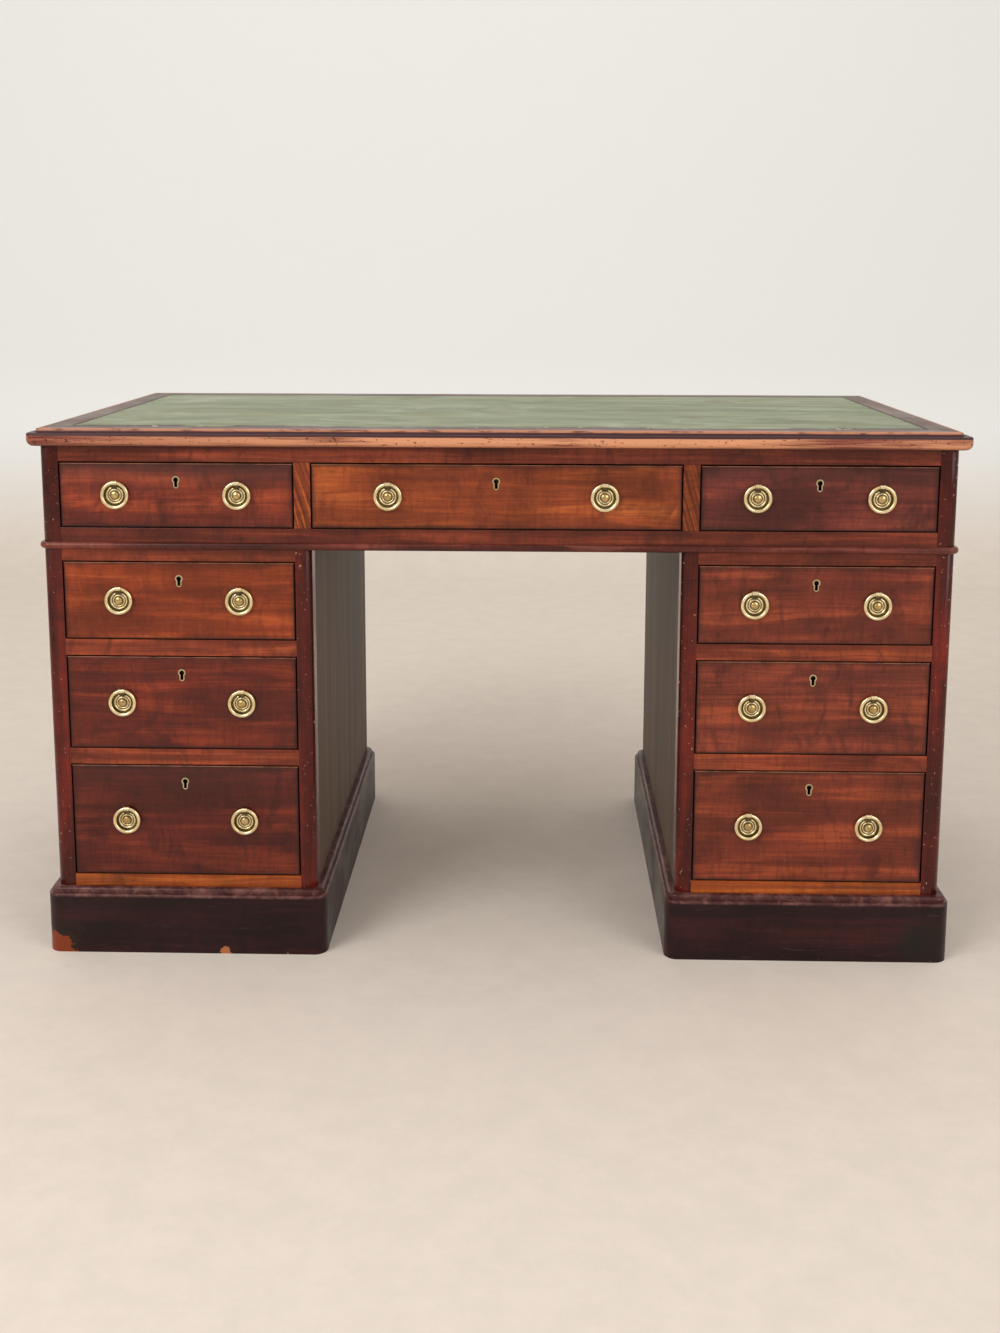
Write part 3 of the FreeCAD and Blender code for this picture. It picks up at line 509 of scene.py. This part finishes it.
def top_border():
    """The border's finish, zone by zone from its flat out to its nose."""
    material, tree, where = new_material("rubbed_mahogany_top_moulding")
    parts = add(tree, "SeparateXYZ", where).node.outputs
    out_x = add(tree, "Math", add(tree, "Math", parts["X"], **SIZE), flat_x, **MINUS)
    out_y = add(tree, "Math", add(tree, "Math", parts["Y"], **SIZE), flat_y, **MINUS)
    out = add(tree, "Math", out_x, out_y, operation="MAXIMUM")
    run = along_piece(tree, parts, add(tree, "Math", out_x, out_y, operation="GREATER_THAN"))
    colour, height, blotch = grain(tree, run, "X", 4.3, ("#6d4636", "#3c2219", "#8f6650"), 0.8)
    slow = pattern(tree, run, *DRIFT, seed=3.0)
    ragged = pattern(tree, run, *PATCH, seed=1.0, detail=4.0, rough=0.65)
    strokes = pattern(tree, run, *STROKE, seed=6.0, detail=4.0, rough=0.6, twist=0.3)
    dents = pattern(tree, run, *DENT, detail=3.0, rough=0.7)
    patchy = add(tree, "MapRange", ragged, 0.34, 0.60, 0.2, 0.85, **SMOOTH)
    colour = lay(tree, colour, "#a3604a", parts["Y"], SLEEVE_WIDTH - flat_y, SLEEVE_EDGE - flat_y, 1.0,
                 patchy)
    # Everything beyond the flat's edge: dark purple-brown, a painted shade of the cove. The lip and the nose
    # are painted over it below, so it stays on the cove, the top of the nose and its underside.
    colour = lay(tree, colour, "#402428", out, -1.0 * MM, 0.5 * MM)
    lip = add(tree, "MapRange", parts["Z"], border_high.z - LIP_HEIGHT, border_high.z - 0.6 * LIP_HEIGHT,
              **SMOOTH)
    patchy = both(tree, lip, add(tree, "MapRange", ragged, 0.34, 0.52, 0.25, 1.0, **SMOOTH))
    colour = lay(tree, colour, "#d2906f", out, -LIP_HEIGHT, -0.6 * MM, 1.0, patchy)
    # The top of the nose band wanders; above it the painted cove shade stays.
    cove_shade_edge = ragged_by(tree, parts["Z"], slow, COVE_SHADE_WANDER)
    nose_low, nose_top = border_low.z, border_low.z + NOSE_TOP
    nose = both(tree, add(tree, "MapRange", parts["Z"], nose_low, nose_low + NOSE_UNDERSIDE, **SMOOTH),
                add(tree, "MapRange", cove_shade_edge, nose_top + NOSE_SOFT, nose_top - NOSE_SOFT, **SMOOTH))
    colour = add(tree, "Mix", nose, colour, linear("#86483a"), **COLOUR)
    colour = lay(tree, colour, "#5e2c20", strokes, 0.52, 0.66, 0.8, nose)
    bare = ragged_by(tree, strokes, slow, BARE_WANDER)
    lean = add(tree, "MapRange", parts["X"], WEAR_FROM, WEAR_TO, 0.35, 0.9, **SMOOTH)
    colour = lay(tree, colour, "#dc9a72", bare, 0.72, 0.36, 1.0, both(tree, nose, lean))
    colour = lay(tree, colour, "#3a1b14", dents, 0.61, 0.66, 1.0, nose)
    polished(tree, colour, height, blotch, 0.38, 0.15)
    return material


border_material = top_border()
print("the flat ends", round(flat_x, 4), "and", round(flat_y, 4), "m from the middle")

# %% [markdown]
# Leather skiver
#
# A skiver is a thin split sheepskin, dyed green and glazed, and glued into the recess. Years of
# wiping have left cloudy streaks along the desk. Dust has darkened its rim, and along the front it
# is torn back in a ragged line, with a few cream flakes. Glazed leather has an IOR near 1.48 and a
# roughness of 0.4 to 0.55. Its pebbles are really about 0.8 mm across, too fine to show, so they are
# drawn at 1.6 mm. A bump shows them well enough: geometry would cost a million faces.

# %% Leather
leather_low, leather_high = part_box("leather_skiver")
PEBBLE = 1.6 * MM
PEBBLE_DEPTH = 0.12 * MM
LEATHER_IOR = 1.48
RIM_WIDTH = 5 * MM
RIM_WANDER = 12 * MM
TORN_REACH = 19 * MM
TORN_WANDER = 26 * MM
TORN_SOFT, TORN_FULL = 5 * MM, 1 * MM
# Each pattern's size along the desk and across it.
DYE_CLOUD = 240 * MM, 90 * MM
WIPE = 300 * MM, 46 * MM
SMEAR = 170 * MM, 120 * MM
TORN_STRETCH = 190 * MM, 900 * MM
TEAR = 16 * MM
FLAKE = 13 * MM


def green_leather():
    """The skiver's finish: clouds and streaks, a dark rim, a torn front edge."""
    material, tree, where = new_material("dyed_and_glazed_green_skiver")
    parts = add(tree, "SeparateXYZ", where).node.outputs
    cloud = pattern(tree, where, *DYE_CLOUD, seed=2.0, detail=5.0, rough=0.6, twist=0.8)
    wipe = pattern(tree, where, *WIPE, seed=5.0, detail=5.0, rough=0.65, twist=0.6)
    smear = pattern(tree, where, *SMEAR, seed=9.0, detail=5.0, rough=0.7, twist=1.6)
    ragged = pattern(tree, where, TEAR, detail=4.0, rough=0.65)
    colour = lay(tree, linear("#6b7452"), "#878d6b", cloud, 0.32, 0.68)
    colour = lay(tree, colour, "#a3aa84", wipe, 0.50, 0.70, 0.50)
    colour = lay(tree, colour, "#5d6744", wipe, 0.46, 0.28, 0.50)
    colour = lay(tree, colour, "#b3b898", smear, 0.56, 0.74, 0.45)
    colour = lay(tree, colour, "#7d7757", smear, 0.46, 0.30, 0.55)
    rim = edge_distance(tree, parts, leather_low, leather_high, "XY")
    edge = ragged_by(tree, rim, ragged, RIM_WANDER)
    colour = lay(tree, colour, "#2a2a1a", edge, RIM_WIDTH, 0.1 * RIM_WIDTH, 0.9)
    from_front = add(tree, "Math", parts["Y"], leather_low.y, **MINUS)
    front = ragged_by(tree, from_front, ragged, TORN_WANDER)
    slow = pattern(tree, where, *TORN_STRETCH, seed=4.0, detail=3.0, rough=0.6)
    reach = add(tree, "MapRange", slow, 0.40, 0.58, 0.0, TORN_REACH, **SMOOTH)
    beyond = add(tree, "Math", front, reach, **MINUS)
    torn = add(tree, "MapRange", beyond, TORN_SOFT, TORN_FULL, **SMOOTH)
    colour = add(tree, "Mix", torn, colour, linear("#35251b"), **COLOUR)
    colour = lay(tree, colour, "#e2d6b4", pattern(tree, where, FLAKE), 0.67, 0.71, 1.0, torn)
    pebble = add(tree, "TexVoronoi", where, named={"Scale": 1 / PEBBLE})
    height = add(tree, "Math", pebble, add(tree, "Math", cloud, 2.0, **TIMES), **PLUS)
    bump = add(tree, "Bump", named={"Height": height, "Distance": PEBBLE_DEPTH, "Strength": 0.5})
    rough = add(tree, "MapRange", smear, 0.3, 0.7, 0.54, 0.38, **SMOOTH)
    surface(tree, {"Base Color": colour, "Roughness": rough, "Normal": bump, "IOR": LEATHER_IOR})
    return material


leather_material = green_leather()
leather_size = leather_high - leather_low
print("leather", round(leather_size.x, 3), "by", round(leather_size.y, 3), "m")

# %% [markdown]
# Plinths
#
# The plinths take every kick and mop, so their polish has gone nearly black, scuffed grey in
# strokes, with bare orange wood at a knocked corner. A pinkish line on the moulding is partly rubbed
# wear and partly a painted highlight, where the top of the moulding catches the light. The plinths
# are what makes the desk look heavy. The knocks could be cut into the mesh, but they are shallow and
# the outline hardly shows them, so each is a round patch of colour with a wandering edge.

# %% Plinths
PLINTH_FACE = 88.5 * MM
# The centres of the knocks and stains are places on the desk, in metres.
CHIP_CENTRE = (-0.640, -0.334, -0.002)
CHIP_RADIUS = 30 * MM
STAIN_RADIUS = 62 * MM
RIGHT_STAIN_CENTRE = (0.610, -0.334, 0.030)
RIGHT_STAIN_RADIUS = 50 * MM
SMALL_CHIP_CENTRE = (-0.390, -0.334, 0.004)
SMALL_CHIP_RADIUS = 7 * MM
CHIP_WANDER = 2.2
FACING = 0.7
LINE_LOW, LINE_HIGH = PLINTH_FACE - 5.5 * MM, PLINTH_FACE - 2.5 * MM
FOOT_TOP, FOOT_FULL = 4 * MM, 1.5 * MM
SCUFF = 60 * MM, 6 * MM
KNOCK_EDGE = 26 * MM
FINE_EDGE = 7 * MM
BRUISE = 11 * MM


def plinth_wood():
    """The plinths' finish, its grain running round the corners."""
    material, tree, where = new_material("blackened_mahogany_plinth")
    parts = add(tree, "SeparateXYZ", where).node.outputs
    facing = add(tree, "SeparateXYZ", add(tree, "TexCoord", out="Normal")).node.outputs["X"]
    on_side = add(tree, "Math", add(tree, "Math", facing, **SIZE), FACING, operation="GREATER_THAN")
    run = along_piece(tree, parts, on_side)
    colour, height, blotch = grain(tree, run, "X", 9.2, ("#2f0e11", "#130708", "#3e1514"), 0.8)
    scuff = pattern(tree, run, *SCUFF, seed=2.0, detail=5.0, rough=0.75, twist=0.5)
    ragged = pattern(tree, run, KNOCK_EDGE, detail=6.0, rough=0.75, twist=0.6)
    fine = pattern(tree, run, FINE_EDGE, detail=5.0, rough=0.75, twist=0.8)
    bruise = pattern(tree, run, BRUISE, detail=3.0, rough=0.7)
    colour = lay(tree, colour, "#5b4440", scuff, 0.58, 0.75, 0.32)
    line = add(tree, "MapRange", parts["Z"], LINE_LOW, LINE_HIGH, **SMOOTH)
    colour = add(tree, "Mix", both(tree, line, 0.7), colour, linear("#4a2423"), **COLOUR)
    # Pinkish patches along the moulding: partly rubbed wear, partly a painted highlight on its top.
    colour = lay(tree, colour, "#97655c", ragged, 0.42, 0.68, 0.55, line)
    foot = add(tree, "MapRange", parts["Z"], FOOT_TOP, FOOT_FULL, **SMOOTH)
    colour = lay(tree, colour, "#a48a76", bruise, 0.64, 0.69, 1.0, foot)
    for centre, radius, core, shade, edge in (
            (CHIP_CENTRE, STAIN_RADIUS, 0.5, "#24150f", ragged),
            (RIGHT_STAIN_CENTRE, RIGHT_STAIN_RADIUS, 0.2, "#1b1510", scuff),
            (CHIP_CENTRE, CHIP_RADIUS, 0.93, "#7c3315", ragged),
            (SMALL_CHIP_CENTRE, SMALL_CHIP_RADIUS, 0.93, "#a8653c", fine)):
        away = add(tree, "VectorMath", where, centre, operation="DISTANCE")
        torn = ragged_by(tree, away, edge, CHIP_WANDER * radius)
        colour = lay(tree, colour, shade, torn, radius, core * radius)
    polished(tree, colour, height, blotch, 0.34, 0.14)
    return material


plinth_material = plinth_wood()
print("plinth moulding above", PLINTH_FACE / MM, "mm")

# %% [markdown]
# Plain woods
#
# The kneehole sides were never polished as the fronts were: matt, grey-brown, with fine upright
# streaks. Drawer linings are planed oak, runners and the ground of the top are planed pine, and the
# back boards are pine stained to pass for the rest. The mahogany recipe could be toned down for all
# of them, but bare planed wood scatters light: it has no coat, a roughness of about 0.6 and a bump
# along the grain, so a short recipe of its own is clearer. The pale insides make an open drawer read
# as deep.

# %% Kneehole sides, linings and backs
PLANED_ALONG, PLANED_ACROSS = 420 * MM, 4 * MM
BOARD_ALONG, BOARD_ACROSS = 700 * MM, 45 * MM
WOOD_IOR = 1.5
FIBRE_DEPTH = 0.25 * MM


def plain_wood(name, axis, seed, tone, dark, rough, contrast=1.0):
    """Planed wood without polish, its streaks as strong as contrast says."""
    material, tree, where = new_material(name)
    streak = pattern(tree, where, PLANED_ALONG, PLANED_ACROSS, axis, seed, 5.0, 0.7)
    broad = pattern(tree, where, BOARD_ALONG, BOARD_ACROSS, axis, seed * 2, 3.0, 0.6)
    fine = add(tree, "MapRange", streak, 0.38, 0.66, 0.0, 0.75 * contrast, **SMOOTH)
    wide = add(tree, "MapRange", broad, 0.40, 0.65, 0.0, 0.45 * contrast, **SMOOTH)
    share = add(tree, "Math", fine, wide, use_clamp=True, **PLUS)
    colour = add(tree, "Mix", share, linear(tone), linear(dark), **COLOUR)
    bump = add(tree, "Bump", named={"Height": streak, "Distance": FIBRE_DEPTH, "Strength": 0.7})
    surface(tree, {"Base Color": colour, "Roughness": rough, "Normal": bump, "IOR": WOOD_IOR})
    return material


# Kneehole sides: mahogany that was only oiled, dull and streaked, so the opening looks deep.
kneehole_wood = plain_wood("oiled_mahogany_kneehole_side", "Z", 1.4, "#684c36", "#2e2016", 0.60, 0.9)
# Drawer linings: oak, planed along its length, pale and warm.
lining_wood = plain_wood("planed_oak_drawer_lining", "Y", 2.6, "#a9814f", "#7c5a34", 0.6, 0.8)
# Runners and ground: pine, planed and left bare.
pine_wood = plain_wood("planed_pine", "X", 4.8, "#96704a", "#6b4a2d", 0.7)
# Back boards: pine under a thin brown stain, duller than the mahogany beside it.
back_wood = plain_wood("stained_pine_back_boards", "Z", 6.1, "#6a432c", "#40261a", 0.62, 0.55)
print("plain woods streaked every", PLANED_ACROSS / MM, "mm")

# %% [markdown]
# Keyholes
#
# A keyhole is lined with a strip of brass, so that the key doesn't wear the wood. The linings of the
# imported model are slightly wider than the real rims look. Making them narrower there would be the
# true mend. This script can't change the model, so the finish narrows them: the innermost 0.4 to
# 0.7 mm is painted as dark as the hole, a painted shade that stands for the dark inside the hole. The
# dark is a round head over a slot, worked out from the lining's own size on each drawer.

# %% Shape of a keyhole
HEAD_SHARE, SLOT_SHARE, FOOT_SHARE, SOFT_SHARE = 0.70, 0.44, 0.28, 0.08


def painted_keyhole_shade(tree, where, hole):
    """The painted hole shade: the round head and the slot of a keyhole, as shares of its lining's head
    radius.
    """
    x, head_z, foot_z, radius = hole
    parts = add(tree, "SeparateXYZ", where).node.outputs
    soft = SOFT_SHARE * radius
    across = add(tree, "Math", add(tree, "Math", parts["X"], x, **MINUS), **SIZE)
    up = add(tree, "Math", parts["Z"], head_z, **MINUS)
    away = add(tree, "VectorMath", add(tree, "CombineXYZ", across, 0.0, up), operation="LENGTH")
    head = add(tree, "MapRange", away, HEAD_SHARE * radius, HEAD_SHARE * radius - soft, **SMOOTH)
    slot = add(tree, "MapRange", across, SLOT_SHARE * radius, SLOT_SHARE * radius - soft, **SMOOTH)
    foot_z += FOOT_SHARE * radius
    above = add(tree, "MapRange", parts["Z"], foot_z, foot_z + soft, **SMOOTH)
    below = add(tree, "MapRange", up, 0.0, -soft, **SMOOTH)
    return add(tree, "Math", head, both(tree, slot, above, below), operation="MAXIMUM")


print("the dark of a keyhole takes", HEAD_SHARE, "of its lining's width")

# %% [markdown]
# Aged brass
#
# The rings, rosettes and keyhole linings are turned or cast brass, lacquered once and gone pale and
# uneven. It is a metal, so it is fully metallic with the default IOR, and lacquer over turned brass
# has a roughness of 0.2 to 0.35. Turned brass is bright on its ridges and dark in its grooves. A dirt
# mask could be baked for that, but the shader can ask how hollow each place is. The plate behind the
# ring was never polished again: its olive-brown is partly tarnish and partly a painted shade of the
# ring and rosette over it, and both follow the object's own Y.

# %% Brass
carcase_face_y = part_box("frieze_rails")[0].y
BRASS_PATCH = 9 * MM
BRASS_DENT = 0.05 * MM
PLATE_FRONT, PLATE_EDGE = 1.1 * MM, 1.9 * MM


def brass(name, tarnish_and_shade, bright="#f8e7bf", dull="#e2cc96", hole=None):
    """Old lacquered brass: tarnish and painted shade of this strength where it lies back near the plate,
    tarnish in its grooves, and a painted hole shade round a keyhole.
    """
    material, tree, where = new_material(name)
    patch = pattern(tree, where, BRASS_PATCH, detail=4.0, rough=0.65)
    colour = lay(tree, linear(bright), dull, patch, 0.35, 0.65)
    proud = add(tree, "Math", carcase_face_y, add(tree, "SeparateXYZ", where, out="Y"), **MINUS)
    # Near the plate: olive-brown, partly tarnish and partly a painted shade of the ring and rosette.
    low = add(tree, "MapRange", proud, PLATE_EDGE, PLATE_FRONT, 0.0, tarnish_and_shade, **SMOOTH)
    hollow = add(tree, "NewGeometry", out="Pointiness")
    grooved = add(tree, "MapRange", hollow, 0.495, 0.455, 0.0, 0.8, **SMOOTH)
    dark = add(tree, "Math", low, grooved, operation="MAXIMUM")
    colour = add(tree, "Mix", dark, colour, linear("#453c20"), **COLOUR)
    # Painted shade as dark as the hole over the inner edge of the lining.
    if hole:
        colour = add(tree, "Mix", painted_keyhole_shade(tree, where, hole), colour, linear("#0a0705"), **COLOUR)
    rough = add(tree, "MapRange", patch, 0.3, 0.7, 0.20, 0.34, **SMOOTH)
    rough = add(tree, "Math", rough, both(tree, dark, 0.2), **PLUS)
    bump = add(tree, "Bump", named={"Height": patch, "Distance": BRASS_DENT, "Strength": 0.25})
    surface(tree, {"Base Color": colour, "Metallic": 1.0, "Roughness": rough, "Normal": bump})
    return material


# Rings and rosettes: turned, bright on the ridges. The brightest things on the desk.
brass_material = brass("turned_lacquered_brass", 0.9)
# Domes in the middle of the rosettes: their lacquer is gone, so they are more golden and less pale.
boss_brass = brass("worn_gilt_brass_boss", 0.2, "#d4b67c", "#b1935c")
# Locks and the inside of the keyholes: cast, never polished, dull. On each lug the arm below the knuckle
# takes it too, as a painted shade under the knuckle.
dull_brass_and_arm_shade = brass("tarnished_cast_brass_and_arm_shade", 0.9, "#6f6448", "#4b4330")
print(len(bpy.data.materials), "materials, and a keyhole brass for each drawer to come")

# %% [markdown]
# Dressing the nodes
#
# Many nodes hold boards of different kinds, such as posts and panels. They could be split into
# objects, but the part's own pieces have to stay whole, so each face picks its finish from where its
# middle lies. Nodes of one wood take it whole.

# %% Nodes of one finish
def dress(node, choose):
    """Give each face of a node the material that choose picks for it."""
    data = nodes[node].data
    data.materials.clear()
    slots = {}
    for face in data.polygons:
        material = choose(face.center, face.normal)
        if material.name not in slots:
            slots[material.name] = len(slots)
            data.materials.append(material)
        face.material_index = slots[material.name]


whole = {
    "writing_top_border": border_material,
    "writing_top_ground": pine_wood,
    "leather_skiver": leather_material,
    "frieze_dividers": divider_wood,
    "frieze_rails": shaded_frieze_rail_wood,
    "frieze_back": back_wood,
    "waist_bead": bead_wood,
    "frieze_runners": pine_wood,
    "left_plinth": plinth_material,
    "right_plinth": plinth_material,
    **front_materials,
}
for node in nodes:
    if "_ring_" in node:
        whole[node] = brass_material
    if node.endswith("_box"):
        whole[node] = lining_wood
for node, material in whole.items():
    dress(node, lambda centre, normal, material=material: material)
print(len(whole), "nodes of one finish")

# %% [markdown]
# Brassware
#
# One node holds a drawer's two rosettes with their lugs, its keyhole lining and its lock. The boxes
# of the two rings say where each lies: near a ring's middle is a rosette, far from both the keyhole.

# %% Brassware
KEYHOLE_REACH = 40 * MM
RING_WIRE = 2.5 * MM
ARM_HALF_WIDTH = 4.2 * MM
ARM_LENGTH = 7.5 * MM
KNUCKLE_RADIUS = 2.6 * MM
BOSS_RADIUS = 5.2 * MM


def brassware_face(node):
    """Which brass each face of a drawer's brassware is made of."""
    drawer = node.removesuffix("_brassware")
    low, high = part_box(f"{drawer}_ring_left")
    face_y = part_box(f"{drawer}_front")[0].y
    pin_z = high.z - RING_WIRE
    boss_z = (low.z + high.z) / 2
    centres = [sum(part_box(f"{drawer}_ring_{word}"), Vector()).x / 2 for word in ("left", "right")]

    def in_lining(centre, normal):
        far = min(abs(centre.x - x) for x in centres) > KEYHOLE_REACH
        return far and normal.y < -FACING and centre.y < face_y + MM

    data = nodes[node].data
    lining = [face for face in data.polygons if in_lining(face.center, face.normal)]
    corners = [data.vertices[n].co for face in lining for n in face.vertices]
    left, right = min(c.x for c in corners), max(c.x for c in corners)
    foot, top, radius = min(c.z for c in corners), max(c.z for c in corners), (right - left) / 2
    hole = ((left + right) / 2, top - radius, foot, radius)
    keyhole_brass = brass(f"rubbed_keyhole_brass_{drawer}", 0.35, hole=hole)

    def choose(centre, normal):
        if in_lining(centre, normal):
            return keyhole_brass
        off = min(abs(centre.x - x) for x in centres)
        if off > KEYHOLE_REACH:
            return dull_brass_and_arm_shade
        if math.hypot(off, centre.z - boss_z) < BOSS_RADIUS:
            return boss_brass
        # The arm below the knuckle: dark brass as a painted shade under the knuckle.
        in_arm_shade = off < ARM_HALF_WIDTH and pin_z - ARM_LENGTH < centre.z < pin_z - KNUCKLE_RADIUS
        return dull_brass_and_arm_shade if in_arm_shade else brass_material

    return choose


brassware = [node for node in nodes if node.endswith("_brassware")]
for node in brassware:
    dress(node, brassware_face(node))
print(len(brassware), "sets of brassware")

# %% [markdown]
# Posts, panels and rails
#
# The carcases are dressed face by face: a post shows in front, a panel outside, oiled wood in the
# kneehole and pine behind. The middle of a face decides, against limits that lie near the joints.

# %% Faces of the carcase
POST_LIMIT = carcase_face_y + 33 * MM
RAIL_BACK = carcase_face_y + 55 * MM
OUTER_SIDE = 350 * MM
BACK_FACE = -carcase_face_y - 12.5 * MM
BOTTOM_RAIL_LIMIT = 117 * MM


def carcase_face(centre, normal):
    """The wood of a face of a pedestal's uprights and back."""
    if centre.y > BACK_FACE and abs(normal.y) > FACING:
        return back_wood
    if centre.y < POST_LIMIT:
        return post_wood
    return panel_wood if abs(centre.x) > OUTER_SIDE else kneehole_wood


def end_face(centre, normal):
    """The wood of a face of the frieze's ends."""
    return post_wood if centre.y < POST_LIMIT else panel_wood


def frame_face(centre, normal):
    """The wood of a face of a pedestal's rails and runners."""
    if centre.y > RAIL_BACK:
        return pine_wood
    return bottom_rail_wood if centre.z < BOTTOM_RAIL_LIMIT else rail_wood


dress("frieze_ends", end_face)
for side in ("left", "right"):
    dress(f"{side}_pedestal_carcase", carcase_face)
    dress(f"{side}_pedestal_frame", frame_face)
dressed = [node for node in nodes if len(nodes[node].data.materials)]
print(len(dressed), "of", len(nodes), "nodes dressed")

# %% [markdown]
# Eased arrises
#
# A joiner takes the sharpness off every arris with a plane or a scrap of glass-paper, and wear goes
# on with it. A truly sharp edge catches no light, so without this the frame looks like card. The
# edges could be rounded in the part, but then every length of rail would carry hundreds of faces. A
# bevel modifier rounds them in the render. Corners are welded first, so that it finds the edges.

# %% Ease the frame
EASING = 0.7 * MM
SAME_CORNER = 0.01 * MM
SHARP_DEGREES = 50


def ease(node):
    """Round the sharp arrises of a wooden node a little."""
    piece = nodes[node]
    piece.modifiers.new("joined_corners", "WELD").merge_threshold = SAME_CORNER
    bevel = piece.modifiers.new("eased_arrises", "BEVEL")
    bevel.width = EASING
    bevel.segments = 2
    bevel.limit_method = "ANGLE"
    bevel.angle_limit = math.radians(SHARP_DEGREES)
    bevel.harden_normals = False


EASED = ("frieze_ends", "frieze_dividers", "frieze_rails", "left_pedestal_carcase", "right_pedestal_carcase",
         "left_pedestal_frame", "right_pedestal_frame")
for node in EASED:
    ease(node)
print(len(EASED), "nodes eased by", EASING / MM, "mm")
